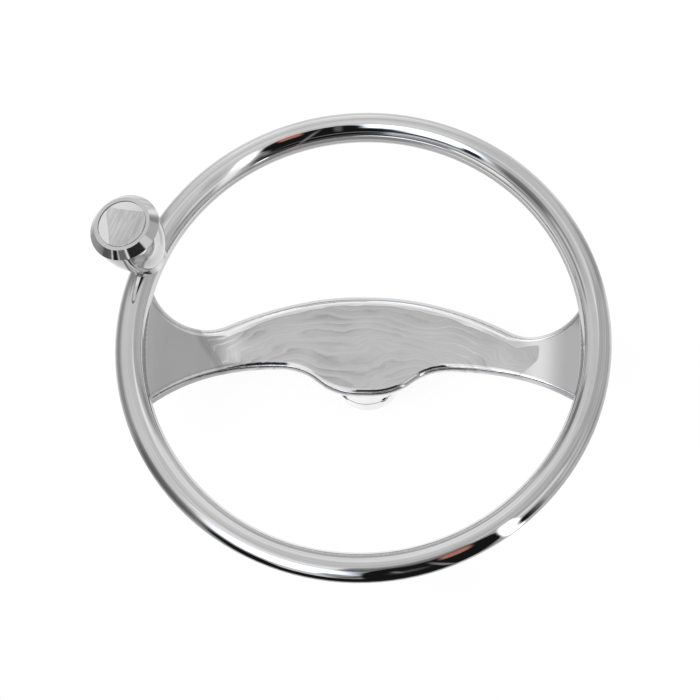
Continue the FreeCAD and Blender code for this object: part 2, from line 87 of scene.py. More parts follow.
camera_data = bpy.data.cameras.new("camera")
camera_data.sensor_width = SENSOR_WIDTH
camera_data.lens = SENSOR_WIDTH * FOCAL_PIXELS / PHOTO_WIDTH
camera_data.clip_end = FAR_LIMIT
camera = bpy.data.objects.new("camera", camera_data)
to_right = Vector((0.99806984, 0.03336689, -0.05237602))
to_top = Vector((-0.01401885, 0.94267914, 0.33340592))
to_back = Vector((0.0604985, -0.33202814, 0.94132739))
turn = Matrix((to_right, to_top, to_back)).transposed().to_4x4()
camera.matrix_world = Matrix.Translation(Vector(CAMERA_PLACE)) @ turn
bpy.context.scene.collection.objects.link(camera)
bpy.context.scene.camera = camera
bpy.context.scene.view_settings.view_transform = "Standard"
print("lens, in millimetres:", round(camera_data.lens, 2))

# %% [markdown]
# ## Writing shaders as sums
#
# A node tree is easier to read as a formula. `Value` wraps a socket, so that `1 - mask * 0.5` adds the
# Math nodes by itself. Every other node comes from `Paint.node`, which takes the node's type, its
# settings and what goes into its sockets.

# %% Shader helpers
class Value:
    """A socket that can be used in a sum."""

    def __init__(self, paint, socket):
        self.paint = paint
        self.socket = socket

    def math(self, operation, *others):
        """One Math node with this value as its first number."""
        sockets = dict(enumerate((self, *others)))
        return self.paint.node("ShaderNodeMath", {"operation": operation}, sockets)[0]

    def __add__(self, other):
        return self.math("ADD", other)

    def __mul__(self, other):
        return self.math("MULTIPLY", other)

    def __sub__(self, other):
        return self.math("SUBTRACT", other)

    def __rsub__(self, other):
        return self.math("MULTIPLY", -1).math("ADD", other)

    __radd__ = __add__
    __rmul__ = __mul__

    def rise(self, low, high):
        """0 below low, 1 above high, and a soft step between them."""
        settings = {"interpolation_type": "SMOOTHSTEP"}
        sockets = {"Value": self, "From Min": low, "From Max": high}
        return self.paint.node("ShaderNodeMapRange", settings, sockets)["Result"]

    def within(self, low, high, soft):
        """1 between low and high, with both edges softened."""
        return self.rise(low - soft, low + soft) * (1 - self.rise(high - soft, high + soft))

    def edge(self, low, high):
        """For a mask: 1 where it is half way between 0 and 1, and 0 where it is either."""
        return (1 - (2 * self - 1).math("ABSOLUTE")).rise(low, high)


def length(x, y):
    """Length of the line whose two parts are given."""
    return (x * x + y * y).math("SQRT")


class Outputs:
    """A node's outputs, picked by name or by number."""

    def __init__(self, paint, node):
        self.paint = paint
        self.node = node

    def __getitem__(self, name):
        return Value(self.paint, self.node.outputs[name])


class Paint:
    """The node tree of one material or of the world, cleared and ready to be filled."""

    def __init__(self, owner):
        owner.use_nodes = True
        self.tree = owner.node_tree
        self.tree.nodes.clear()

    def node(self, kind, settings=None, sockets=None):
        node = self.tree.nodes.new(kind)
        for name, setting in (settings or {}).items():
            setattr(node, name, setting)
        for name, value in (sockets or {}).items():
            socket = node.inputs[name]
            if isinstance(value, Value):
                self.tree.links.new(value.socket, socket)
            elif isinstance(value, tuple) and socket.type == "RGBA":
                socket.default_value = (*value, 1.0)
            else:
                socket.default_value = value
        return Outputs(self, node)

    def vector_math(self, operation, *vectors):
        return self.node("ShaderNodeVectorMath", {"operation": operation}, dict(enumerate(vectors)))

    def measure(self, *directions, start=(0.0, 0.0, 0.0)):
        """How far a point of the surface lies from start along each direction, in metres."""
        here = self.node("ShaderNodeTexCoord")["Object"]
        offset = self.vector_math("SUBTRACT", here, tuple(start))[0]
        return [self.vector_math("DOT_PRODUCT", offset, tuple(way))["Value"] for way in directions]

    def place(self, scale):
        """Object coordinates in metres, stretched for one pattern."""
        here = self.node("ShaderNodeTexCoord")["Object"]
        return self.node("ShaderNodeMapping", {}, {"Vector": here, "Scale": scale})[0]

    def noise(self, spread, detail=3.0, roughness=0.5, distortion=0.0, scale=(1.0, 1.0, 1.0), parts=None):
        """Soft cloud from 0 to 1 whose patches are about as wide as spread. It lies in object coordinates, in
        metres, or else in the parts that are given."""
        if parts:
            vector = self.node("ShaderNodeCombineXYZ", {}, dict(enumerate(parts)))[0]
        else:
            vector = self.place(scale)
        sockets = {"Vector": vector, "Scale": 1 / spread, "Detail": detail,
                   "Roughness": roughness, "Distortion": distortion}
        return self.node("ShaderNodeTexNoise", {}, sockets)["Fac"]

    def blend(self, factor, first, second):
        """Mix two colours."""
        sockets = {0: factor, 6: first, 7: second}
        return self.node("ShaderNodeMix", {"data_type": "RGBA"}, sockets)[2]

    def bump(self, height, distance, normal=None):
        sockets = {"Height": height, "Distance": distance, "Strength": 1.0}
        if normal:
            sockets["Normal"] = normal
        return self.node("ShaderNodeBump", {}, sockets)["Normal"]

    def shade(self, colour, tone):
        """The colour times the tone."""
        return self.node("ShaderNodeVectorMath", {"operation": "SCALE"}, {0: colour, "Scale": tone})[0]

    def surface(self, shader, kind="ShaderNodeOutputMaterial"):
        self.node(kind, {}, {"Surface": shader})

    def glow(self, colour):
        return self.node("ShaderNodeEmission", {}, {"Color": colour, "Strength": 1.0})[0]

    def finish(self, colour, roughness, normal, metallic=1.0):
        """The whole surface from one Principled node."""
        sockets = {"Base Color": colour, "Metallic": metallic, "Roughness": roughness, "Normal": normal}
        self.surface(self.node("ShaderNodeBsdfPrincipled", {}, sockets)[0])


def new_material(name):
    material = bpy.data.materials.new(name)
    return material, Paint(material)


# %% [markdown]
# ## The background
#
# The photograph has a pure white ground. The world is white to the camera and in mirrors at a strength
# of 1, which is exactly white, and a little less to matt surfaces, so that nothing is overlit.

# %% The white background
DIFFUSE_SKY = 0.85

world = bpy.data.worlds.new("white_ground")
bpy.context.scene.world = world
paint = Paint(world)
path = paint.node("ShaderNodeLightPath")
direct = path["Is Camera Ray"].math("MAXIMUM", path["Is Glossy Ray"])
direct = direct.math("MAXIMUM", path["Is Transmission Ray"])
strength = DIFFUSE_SKY + (1 - DIFFUSE_SKY) * direct
sky = paint.node("ShaderNodeBackground", {}, {"Color": (1.0, 1.0, 1.0), "Strength": strength})[0]
paint.surface(sky, "ShaderNodeOutputWorld")
print("world ready")

# %% [markdown]
# ## The table
#
# The wheel lies on its boss on a pale table that ends just in front of it. To the camera the top is pure
# white, as in the photograph. In a mirror it is less even: the front half and the sides get less light
# than the back, so the polished steel shows soft grey bands and not one flat white. The top is a grid of
# rectangles inside each other, with the last ones turned down by a quarter circle.

# %% The table
TABLE_SIDE = 0.62
TABLE_FRONT = -0.262
TABLE_BACK = 1.0
TABLE_EDGE = 0.012
TABLE_CORNERS = 240
SHINE = 0.82


def grid_mesh(name, points, closed=False, capped=False):
    """Mesh from an array of points with the shape (rows, columns, 3): each cell between four neighbours
    becomes a face, a closed grid joins its last column to its first, and a capped one has a face over its
    first row and another over its last."""
    rows, columns = points.shape[:2]
    row = np.arange(rows - 1)[:, None]
    column = np.arange(columns if closed else columns - 1)[None, :]
    beside = (column + 1) % columns
    corners = [row * columns + column, row * columns + beside,
               (row + 1) * columns + beside, (row + 1) * columns + column]
    faces = np.stack(np.broadcast_arrays(*corners), axis=-1).reshape(-1, 4).tolist()
    if capped:
        ring = np.arange(columns)
        faces += [ring[::-1].tolist(), (ring + (rows - 1) * columns).tolist()]
    mesh = bpy.data.meshes.new(name)
    mesh.from_pydata(points.reshape(-1, 3).tolist(), [], faces)
    mesh.update()
    return mesh


def show(name, mesh, material):
    piece = bpy.data.objects.new(name, mesh)
    piece.data.materials.append(material)
    bpy.context.scene.collection.objects.link(piece)
    return piece


def table_top():
    """Rings of a rectangle, x = half width * u and y = middle + half depth * v, where (u, v) runs round a
    square; the outermost rings drop by a quarter circle."""
    turn = np.linspace(0, 2 * np.pi, TABLE_CORNERS, endpoint=False)
    square = np.maximum(abs(np.cos(turn)), abs(np.sin(turn)))
    outline = np.stack([np.cos(turn) / square, np.sin(turn) / square], axis=-1)
    middle = np.array([0.0, (TABLE_FRONT + TABLE_BACK) / 2])
    half = np.array([TABLE_SIDE, (TABLE_BACK - TABLE_FRONT) / 2])
    bend = np.linspace(0, np.pi / 2, 7)
    share = np.concatenate([[0.001, 0.5, 0.9], 1 - TABLE_EDGE * (1 - np.sin(bend))])
    drop = np.concatenate([[0, 0, 0], TABLE_EDGE * (1 - np.cos(bend))])
    flat = middle + outline[None] * half * share[:, None, None]
    height = np.broadcast_to(-drop[:, None, None], (len(share), len(turn), 1))
    return np.concatenate([flat, height], axis=-1)


material, paint = new_material("pale table")
path = paint.node("ShaderNodeLightPath")
to_camera = path["Is Camera Ray"].math("MAXIMUM", path["Is Transmission Ray"])
direct = to_camera.math("MAXIMUM", path["Is Glossy Ray"])
x, y = paint.measure(*AXES[:2])
from_hub = length(x, y)
mirrored_light = 0.62 + 0.43 * y.rise(-0.10, 0.12)
mirrored_light = mirrored_light * (1 - 0.5 * x.rise(0.26, 0.40) - 0.65 * (1 - x.rise(-0.38, -0.24)))
mirrored_light = mirrored_light + 0.80 * (1 - from_hub.rise(0.06, 0.13)) * (1 - y.rise(-0.06, 0.12))
seen_light = 1.32 - 0.24 * y.rise(TABLE_FRONT, TABLE_FRONT + 0.022)
light = to_camera * seen_light + (1 - to_camera) * mirrored_light
grain = paint.noise(0.004, detail=4.0)
cover = paint.blend(grain, (0.9, 0.9, 0.9), (0.94, 0.94, 0.94))
matt = paint.node("ShaderNodeBsdfDiffuse", {}, {"Color": cover})[0]
paint.surface(paint.node("ShaderNodeMixShader", {}, {0: direct * SHINE, 1: matt, 2: paint.glow(light)})[0])
table = show("table", grid_mesh("table", table_top(), closed=True), material)
print("table faces:", len(table.data.polygons))

# %% [markdown]
# ## The light tent
#
# Polished steel is photographed inside a tent of pale cloth. Its walls are not equally bright, and its
# front is open for the camera: that opening is the black streak along the rim. The tent is a large
# sphere that glows with a pattern of soft-edged panels. The camera looks through it, and only mirrors
# and matt surfaces see it. Each panel is a range of bearing and height, in degrees, and a panel that
# crosses the bearing of 180 is given twice. The small dark ones show in the chamfer of the knob.

# %% The light tent
TENT_RADIUS = 3.0
SEEN_FLAT = (-0.0605, 0.3320, 0.9413)


def sphere(radius, centre):
    """Sphere from bearing and height: x = r cos h cos b, y = r cos h sin b, z = r sin h."""
    bearing = np.linspace(-np.pi, np.pi, 96, endpoint=False)[None, :]
    height = np.linspace(-np.pi / 2, np.pi / 2, 49)[:, None]
    x = np.cos(height) * np.cos(bearing)
    y = np.cos(height) * np.sin(bearing)
    z = np.sin(height) + 0 * bearing
    return np.stack([x, y, z], axis=-1) * radius + np.array(centre)


def hang(name, mesh, material):
    """Put up a part of the tent: mirrors see it, and the camera and the shadows don't. It is all round the
    wheel, so it is lit up by the rays that reach it and needn't be sampled as a lamp, which is slow."""
    material.cycles.emission_sampling = "NONE"
    cloth = show(name, mesh, material)
    cloth.visible_camera = False
    cloth.visible_shadow = False
    return cloth


material, paint = new_material("tent cloth")
here = paint.node("ShaderNodeTexCoord")["Object"]
away = paint.vector_math("SUBTRACT", here, tuple(rim_centre))[0]
away = paint.vector_math("NORMALIZE", away)[0]
parts = paint.node("ShaderNodeSeparateXYZ", {}, {0: away})
x, y, z = parts["X"], parts["Y"], parts["Z"]
bearing = y.math("ARCTAN2", x) * math.degrees(1)
height = z.math("ARCSINE") * math.degrees(1)
seam = paint.vector_math("DOT_PRODUCT", away, SEEN_FLAT)["Value"].math("ARCCOSINE") * math.degrees(1)

cloth = 0.80 - 0.20 * x.rise(0.30, 0.46)
cloth = cloth + 0.05 * (1 - x.rise(-0.52, -0.46)) * height.rise(15, 30)
cloth = cloth - 0.42 * (1 - x.rise(-0.88, -0.66)) * (1 - height.rise(0, 35))
cloth = cloth + 0.42 * bearing.within(48, 124, 8) * height.within(-5, 63, 4)
cloth = cloth - 0.25 * bearing.within(34, 52, 5) * (1 - height.rise(20, 40))

# Glow, range of bearing, range of height, and how soft the edges are
for glow, bearings, heights, soft_side, soft_end in (
    (0.25, (128, 148), (-60, 34), 3, 6),
    (0.28, (146, 220), (-52, -12), 4, 5),
    (0.28, (-220, -157), (-52, -12), 4, 5),
    (1.25, (-155, -100), (35, 80), 4, 8),
    (0.90, (-150, -98), (-58, 0), 5, 9),
    (1.70, (-146, -99), (2, 36), 3, 8),
    (0.13, (-159, -133), (-18, 2), 2, 2),
    (0.02, (-136, -120), (-4, 11), 2, 2),
    (0.20, (-123, -96), (6, 22), 2, 2),
    (0.03, (-100, -50), (-60, 66), 3, 3),
    (0.95, (-47, -16), (20, 50), 3, 6),
):
    mask = bearing.within(*bearings, soft_side) * height.within(*heights, soft_end)
    cloth = cloth * (1 - mask) + glow * mask

# Seams of the cloth: they circle the point that the flat of the hub mirrors, so they run along the tube
for middle, half, soft, change in ((23, 2.5, 2.5, 0.10), (46, 1.2, 1.5, -0.14), (58, 1.5, 1.5, 0.16),
                                   (73, 3.0, 2.5, 0.18), (84, 1.2, 1.5, -0.20), (99, 1.5, 1.5, 0.15)):
    cloth = cloth * (1 + change * seam.within(middle - half, middle + half, soft))
paint.surface(paint.glow(cloth))
tent = hang("light_tent", grid_mesh("light_tent", sphere(TENT_RADIUS, rim_centre), closed=True), material)
print("tent faces:", len(tent.data.polygons))

# %% [markdown]
# ## Cards beside the rim
#
# A round tube mirrors everything near it, so a photographer sets small cards close by to place each
# highlight. Here two curved cards follow the rim at a hand's breadth, one over its far side and one over
# its near side. A card is part of a tube that is wider than the rim's. It carries soft patches, and it is
# clear between them, so the tent shows through. It works on its inner face alone, because the hub and the
# knob should not see it.
#
# A patch is given by its glow, its opacity, and its middle and half size along the rim and round the
# tube, both in degrees. The angle round the tube is 0 towards the hub and 90 straight above the tube.
# Then come the softness of its edge and how far it leans.

# %% Cards beside the rim
CARD_GAP = 0.060
CARD_ANGLES = (-75, 245)
CARD_FADE = 5
CREASE_COVER = 0.25


def grey(level):
    return (level, level, level)


def card_shell(ends):
    """Part of a torus: at bearing b and angle a, the distance from the axle is rim radius - gap * cos a,
    and the height is rim height + gap * sin a."""
    bearing = np.radians(np.linspace(*ends, 121))[None, :]
    angle = np.radians(np.linspace(*CARD_ANGLES, 129))[:, None]
    reach = rim_radius - CARD_GAP * np.cos(angle)
    x = reach * np.cos(bearing)
    y = reach * np.sin(bearing)
    z = rim_height + CARD_GAP * np.sin(angle) + 0 * bearing
    return np.stack([x, y, z], axis=-1)


def card_material(name, patches, ends):
    """Patches laid over each other on clear film with faint creases along it, all fading out at its ends."""
    material, paint = new_material(name)
    along, upward = round_the_tube(paint)
    crease = paint.noise(1.0, detail=3.0, roughness=0.6, parts=(along * 0.018, upward * 0.16, 3.7))
    colour = paint.blend(crease.rise(0.38, 0.62), grey(0.30), grey(1.25))
    cover = CREASE_COVER * upward.rise(20, 50)
    for tint, opacity, middle, half, level, half_level, soft, lean in patches:
        across = (along - lean * (upward - level) - middle) * (1 / half)
        above = (upward - level) * (1 / half_level)
        reach = across.math("ABSOLUTE").math("POWER", 3) + above.math("ABSOLUTE").math("POWER", 3)
        mask = opacity * (1 - reach.math("POWER", 1 / 3).rise(1 - soft, 1 + soft))
        colour = paint.blend(mask, colour, tint)
        cover = 1 - (1 - cover) * (1 - mask)
    cover = cover * along.within(ends[0] + CARD_FADE, ends[1] - CARD_FADE, CARD_FADE - 1)
    inner_face = 1 - paint.node("ShaderNodeNewGeometry")["Backfacing"]
    clear = paint.node("ShaderNodeBsdfTransparent")[0]
    sockets = {0: cover * inner_face, 1: clear, 2: paint.glow(colour)}
    paint.surface(paint.node("ShaderNodeMixShader", {}, sockets)[0])
    return material


def round_the_tube(paint):
    """Bearing along the rim, from 0 to 360, and angle round the tube, from -100 to 260, in degrees."""
    x, y, z = paint.measure(*AXES)
    reach = length(x, y)
    along = y.math("ARCTAN2", x) * math.degrees(1)
    upward = (z - rim_height).math("ARCTAN2", rim_radius - reach) * math.degrees(1)
    return along + 360 * (1 - along.rise(-0.01, 0.01)), upward + 360 * (1 - upward.rise(-100.01, -100))


BLACK = grey(0.012)
WINDOW = (2.3, 2.5, 2.9)
STRIP = (2.3, 2.35, 2.45)
AMBER = (0.62, 0.24, 0.17)

far_patches = (
    (grey(0.50), 0.6, 42, 30, 155, 32, 0.6, 0.0),
    (grey(0.34), 0.8, 20, 16, 196, 26, 0.6, 0.0),
    (grey(0.98), 0.8, 148, 18, 152, 26, 0.6, 0.0),
    (grey(0.74), 0.7, 90, 62, 128, 20, 0.4, 0.0),
    (grey(0.60), 0.9, 80, 68, -40, 20, 0.4, 0.0),
    (grey(1.10), 0.8, 50, 24, 12, 9, 0.6, 0.0),
    (grey(0.28), 0.9, 28, 20, 45, 6, 0.7, 0.15),
    (grey(0.28), 0.9, 140, 16, 27, 7, 0.7, 0.0),
    (grey(0.20), 1.0, 51, 10, 62, 22, 0.5, 0.0),
    (grey(0.30), 0.9, 40, 18, 72, 7, 0.8, 0.25),
    (grey(0.26), 1.0, 66, 30, 31, 5, 0.6, 0.0),
    (grey(0.34), 1.0, 101, 26, -8, 15, 0.4, 0.0),
    (grey(1.05), 0.8, 78, 17, 104, 13, 0.7, 0.0),
    (WINDOW, 1.0, 79, 16, 74, 19, 0.22, 0.10),
    ((0.05, 0.055, 0.075), 1.0, 82, 18, 50, 6, 0.6, 0.0),
    ((0.03, 0.035, 0.055), 1.0, 91, 9, 55, 12, 0.5, 0.0),
    (grey(0.02), 1.0, 66.5, 3.0, 57, 11, 0.4, 0.0),
    (BLACK, 1.0, 101.5, 14, 45, 23, 0.12, 0.0),
    (BLACK, 1.0, 104.8, 12.6, 72, 21, 0.14, -0.05),
    (grey(0.36), 0.9, 84, 22, 40, 2.0, 0.8, 0.0),
    (grey(0.14), 1.0, 98.2, 0.9, 74, 18, 0.6, 0.0),
    (grey(0.26), 1.0, 105, 0.6, 52, 28, 0.6, -0.08),
    (AMBER, 1.0, 109.4, 2.8, 85, 9, 0.3, 0.0),
    (STRIP, 1.0, 121.4, 3.4, 62, 26, 0.4, -0.07),
    (grey(1.3), 0.9, 125.0, 3.4, 34, 26, 0.6, -0.07),
    (grey(0.40), 0.6, 130, 4, 80, 20, 0.6, 0.0),
)
near_patches = (
    (grey(1.45), 0.8, 270, 66, -28, 16, 0.5, 0.0),
    (grey(0.74), 0.8, 270, 66, 92, 18, 0.5, 0.0),
    (grey(1.05), 0.9, 270, 66, 63, 13, 0.6, 0.0),
    (grey(0.46), 0.9, 270, 66, 25, 11, 0.6, 0.0),
    (grey(0.34), 0.8, 318, 34, 128, 5, 0.8, 0.0),
    (grey(0.18), 1.0, 214, 19, 188, 36, 0.6, 0.0),
    (WINDOW, 1.0, 250, 19, 152, 22, 0.30, 0.0),
    (BLACK, 1.0, 269, 39, 212, 22, 0.20, 0.0),
    (BLACK, 1.0, 240, 11, 195, 14, 0.25, 0.10),
    (grey(0.40), 1.0, 264, 4, 168, 10, 0.6, 0.0),
    (BLACK, 1.0, 289.5, 19, 168, 48, 0.06, 0.0),
    (grey(0.10), 1.0, 283, 4.0, 166, 8, 0.8, 0.10),
    (grey(0.24), 1.0, 280, 0.9, 160, 9, 0.7, 0.10),
    (grey(0.30), 1.0, 291.6, 0.7, 184, 36, 0.6, 0.075),
    (AMBER, 1.0, 295.4, 4.2, 137, 12, 0.3, 0.0),
    (grey(0.22), 1.0, 290, 9, 124, 4, 0.6, 0.0),
    (STRIP, 1.0, 311.0, 3.4, 182, 58, 0.20, 0.02),
    (BLACK, 1.0, 317.2, 4.6, 187, 23, 0.3, 0.0),
    (grey(0.42), 0.8, 324, 5, 182, 20, 0.8, 0.0),
)
for name, ends, patches in (("far_card", (14, 150), far_patches), ("near_card", (194, 346), near_patches)):
    film = card_material(name + " film", patches, ends)
    card = hang(name, grid_mesh(name, card_shell(ends)), film)
    print(name, "faces:", len(card.data.polygons))

# %% [markdown]
# ## The lamps
#
# Two large soft lamps give the table and the few matt pieces a light with a direction. They are weak,
# because the tent does most of the work.

# %% The lamps
def soft_lamp(name, place, side, watts):
    """Square lamp that looks at the middle of the rim."""
    lamp = bpy.data.lights.new(name, "AREA")
    lamp.shape = "SQUARE"
    lamp.size = side
    lamp.energy = watts
    stand = bpy.data.objects.new(name, lamp)
    stand.location = place
    stand.rotation_euler = (rim_centre - Vector(place)).to_track_quat("-Z", "Y").to_euler()
    stand.visible_camera = False
    stand.visible_glossy = False
    bpy.context.scene.collection.objects.link(stand)


soft_lamp("key_lamp", (-1.3, -0.6, 1.7), 0.9, 7.0)
soft_lamp("fill_lamp", (1.5, 1.0, 1.6), 0.9, 3.5)
print("lamps ready")

# %% [markdown]
# ## Polished steel
#
# Stainless steel mirrors about six tenths of the light, in a plain grey. Buffing leaves faint clouds where
# the polish is a touch less sharp, and very fine lines along the way that the wheel was turned against the
# mop. Clouds go into the roughness and the colour, the lines into a bump of less than a hundredth of a
# millimetre.

# %% Polished steel
STEEL = (0.637, 0.637, 0.637)
STEEL_DULL = (0.587, 0.587, 0.587)
SHARP = 0.035
DULL = 0.075
LINE_DEPTH = 0.000002


def polished_steel(name, spread):
    """Mirror steel whose polish is clouded, in patches about as wide as spread."""
    material, paint = new_material(name)
    clouds = paint.noise(spread, detail=5.0, roughness=0.55)
    specks = paint.noise(spread * 0.12, detail=2.0)
    lines = paint.noise(0.0012, detail=2.0, scale=(1.0, 0.12, 1.0))
    mask = clouds.rise(0.35, 0.72)
    colour = paint.blend(mask * 0.8 + specks * 0.2, STEEL, STEEL_DULL)
    roughness = SHARP + (DULL - SHARP) * mask + 0.01 * specks
    paint.finish(colour, roughness, paint.bump(lines, LINE_DEPTH))
    return material


def finish_node(node, material):
    """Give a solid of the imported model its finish."""
    for slot in frame["nodes"][node].material_slots:
        slot.material = material


rim_steel = polished_steel("polished rim tube", spread=0.05)
turned_steel = polished_steel("polished turnings", spread=0.012)
finish_node("rim_tube", rim_steel)
for node in ("hub_boss", "hub_weld", "knob_foot", "knob_bell", "knob_bezel"):
    finish_node(node, turned_steel)
print("steel on the rim, the hub and the knob")

# %% [markdown]
# ## The cap of the knob
#
# The cap was rubbed down by hand in one direction and then polished, so shallow wavy streaks are left in it,
# and they are a bump. Their reflection is painted into the colour as darker streaks. The whole cap is painted
# brighter as a painted highlight, its two unstreaked sides more, and painted shade darkens it towards one
# side. A painted dark line runs where the streaks begin. The streaks are noise that is stretched along one
# direction of the cap, and the two edges are straight lines bent a little by a second noise.

# %% The cap of the knob
LEFT_EDGE = 0.0112
TOP_EDGE = 0.0120
EDGE_WIDTH = 0.0006
STREAK_DEPTH = 0.00002

cap_steel, paint = new_material("hand-polished cap with painted reflection")
side, out = paint.measure(knob_side, knob_out, start=knob_spot)
wobble = paint.noise(0.009, detail=2.0) - 0.5
to_left = side * 0.503 - out * 0.864 + wobble * 0.0022
to_top = wobble * 0.0022 - side * 0.99 - out * 0.146
streaks = paint.noise(1.0, detail=3.0, roughness=0.55, distortion=0.5, parts=(side * 45, out * 420, 0.0))
fine = paint.noise(1.0, detail=2.0, parts=(side * 160, out * 1500, 0.0))
below_left = 1 - to_left.rise(LEFT_EDGE, LEFT_EDGE + EDGE_WIDTH)
streaked = below_left * (1 - to_top.rise(TOP_EDGE, TOP_EDGE + EDGE_WIDTH))
# Painted reflection and highlight: darker in the streaks, brighter over the whole cap and most on its
# unstreaked sides, painted shade towards one side, and a painted dark line at the streaks' edge.
tone = 1.0 - 0.22 * streaked * (1 - streaks.rise(0.34, 0.66)) - 0.08 * streaked * fine
tone = tone * (1.19 + 0.10 * (1 - streaked) - 0.16 * out.rise(-0.004, 0.016))
tone = tone * (1 - 0.30 * streaked.edge(0.15, 0.85))
roughness = 0.10 + 0.10 * streaked * streaks
paint.finish(paint.shade(STEEL, tone), roughness, paint.bump(streaks * streaked, STREAK_DEPTH))
finish_node("knob_cap", cap_steel)
print("cap finished")

# %% [markdown]
# ## The hand-polished face of the casting
#
# A casting leaves the foundry rough, and its broad face is ground and buffed by hand. The mop follows the
# outline, so it leaves shallow waves that look like the grain of wood: long lines along the brow, and
# arches round the lobe. The waves are a bump, and their reflection is painted into the colour as darker
# lines. The field that makes them is a distance, first from the middle of the brow's circle and then from a
# point in the lobe, bent by noise. Its fraction gives the lines. They end at an uneven edge, where the flat
# face begins to bend up into the arms. A painted dark line follows that edge, and painted shade darkens the
# face near the brow and near the left edge. The arms are painted too: the left one darker, with a dark line
# along its edge, and the right one with a bright band that falls to darker towards its end.

# %% The hand-polished face of the casting
BROW_CENTRE = -0.166
BROW_RADIUS = 0.220
LOBE_SPOT = (-0.006, -0.030, 0.0)
LINE_STEP = 0.0060
BROW_BAND = 0.0095
BROW_SLOPE = 0.05
TIP_SPOT = (0.1185, 0.005, 0.0)
ARM_WAVE = 0.00012
GRAIN_DEPTH = 0.00005

cast_steel, paint = new_material("hand-polished casting with painted reflection")
x, y = paint.measure(*AXES[:2])
long_warp = paint.noise(0.060, detail=2.0, roughness=0.45, scale=(0.6, 1.3, 1.0))
short_warp = paint.noise(0.014, detail=3.0, roughness=0.55, scale=(0.55, 1.2, 1.0))
from_brow = length(x, y - BROW_CENTRE)
lobe_x, lobe_y = paint.measure(*AXES[:2], start=LOBE_SPOT)
from_lobe = (lobe_x * lobe_x + 1.4 * lobe_y * lobe_y).math("SQRT")
arch = 0.030 * (1 - from_lobe.rise(0.0, 0.062))
field = from_brow + arch + 0.042 * long_warp + 0.0070 * short_warp
broad_place = (field * (1 / LINE_STEP)).math("FRACT")
fine_place = (field * (2.7 / LINE_STEP)).math("FRACT")
broad_line = broad_place.rise(0.0, 0.62) * (1 - broad_place.rise(0.78, 1.0))
thin_line = broad_place.within(0.72, 0.86, 0.10)
fine_line = fine_place.rise(0.0, 0.6) * (1 - fine_place.rise(0.6, 1.0))
strength = paint.noise(0.026, detail=2.0, scale=(0.6, 1.0, 1.0)).rise(0.38, 0.66)
strength = strength * (1 - 0.6 * x.rise(0.0, 0.05) * y.rise(-0.015, 0.010))

edge_warp = paint.noise(0.020, detail=2.0, roughness=0.5) - 0.5
below_brow = BROW_RADIUS - from_brow + edge_warp * 0.004
below_neck = 0.0235 - 0.0070 * x.rise(-0.02, 0.02) - y + edge_warp * 0.004
past_left = x + y * 0.68 + edge_warp * 0.008
left_side = past_left.rise(-0.1199, -0.1187)
tip_x, tip_y = paint.measure(*AXES[:2], start=TIP_SPOT)
from_tip = length(tip_x, tip_y) + edge_warp * 0.006
right_side = 1 - tip_x.rise(-0.0005, 0.0005) * from_tip.rise(0.0200, 0.0212)
flat_side = below_brow.math("MAXIMUM", below_neck).rise(BROW_BAND - 0.0006, BROW_BAND + 0.0008)
inside = left_side * right_side * flat_side

clouds = paint.noise(0.035, detail=5.0, roughness=0.55, scale=(0.6, 1.0, 1.0))
bands = paint.noise(0.030, detail=2.0, scale=(1.0, 0.2, 1.0))
# Painted reflection of the waves: darker lines in the colour, stronger where the strength noise is high.
grain = 0.17 * broad_line * strength + 0.14 * thin_line * strength + 0.05 * fine_line
tone = 0.98 + 0.08 * clouds
# Painted shade: a dark line along the edge of the flat face, and darker colour near the brow and near the
# left edge.
tone = tone * (1 - inside * grain) * (1 - 0.22 * inside.edge(0.2, 0.8))
tone = tone * (1 - 0.12 * inside * (1 - below_brow.rise(0.008, 0.028)))
tone = tone * (1 - 0.12 * inside * (1 - past_left.rise(-0.119, -0.098)))
# Painted light on the arms: the left arm darker, with darker bands and a dark line along its edge; the right
# arm brighter in a band, then darker towards its end.
left_arm_painted_shade = (1 - left_side) * (0.14 + 0.10 * bands + 0.16 * past_left.within(-0.1265, -0.1195, 0.003))
right_arm_painted_light = 0.06 + 0.26 * x.within(0.129, 0.146, 0.008) - 0.28 * x.rise(0.144, 0.162)
right_arm_painted_light = x.rise(0.118, 0.130) * right_arm_painted_light
tone = tone * (1 - left_arm_painted_shade) * (1 + right_arm_painted_light * (1 - inside))
rolled = (below_brow.math("MINIMUM", BROW_BAND) - BROW_BAND) * x.within(-0.112, 0.114, 0.012)
brow_roll = paint.bump(rolled * BROW_SLOPE, 1.0)
arm_roll = paint.bump(bands * (1 - inside), ARM_WAVE, brow_roll)
relief = inside * (0.6 * broad_line + 0.4 * long_warp)
roughness = 0.05 + 0.05 * clouds + 0.03 * inside * fine_line
paint.finish(paint.shade(STEEL, tone), roughness, paint.bump(relief, GRAIN_DEPTH, arm_roll))
finish_node("spoke_casting", cast_steel)
print("casting finished")

# %% [markdown]
# ## The weld beads of the spokes
#
# Each end of the casting is welded to the tube, and the bead is ground to a hollow fillet and polished.
# In a cut through the tube, the fillet is an arc that touches the tube's circle and the casting's flat
# line. So its centre is one fillet radius off both: on a circle round the tube's centre, and on a line
# parallel to the casting's face. That is a quadratic, solved for all cuts at once. The arc is closed
# through a corner sunk in the metal, and the radius fades towards both ends of the bead.

# %% The weld beads of the spokes
BEAD_RADIUS = 0.0024
BEAD_END = 0.0007
BEAD_SINK = 0.0004
BEAD_MARGIN = 0.05
FACE_REACH = 0.176
FACE_DROP = 0.0035
FACE_SLOPE = math.tan(math.radians(16.6))


def mesh_points(node):
    """The corners of a solid's mesh as rows of x, y and z."""
    mesh = frame["nodes"][node].data
    points = np.empty(len(mesh.vertices) * 3)
    mesh.vertices.foreach_get("co", points)
    return points.reshape(-1, 3)


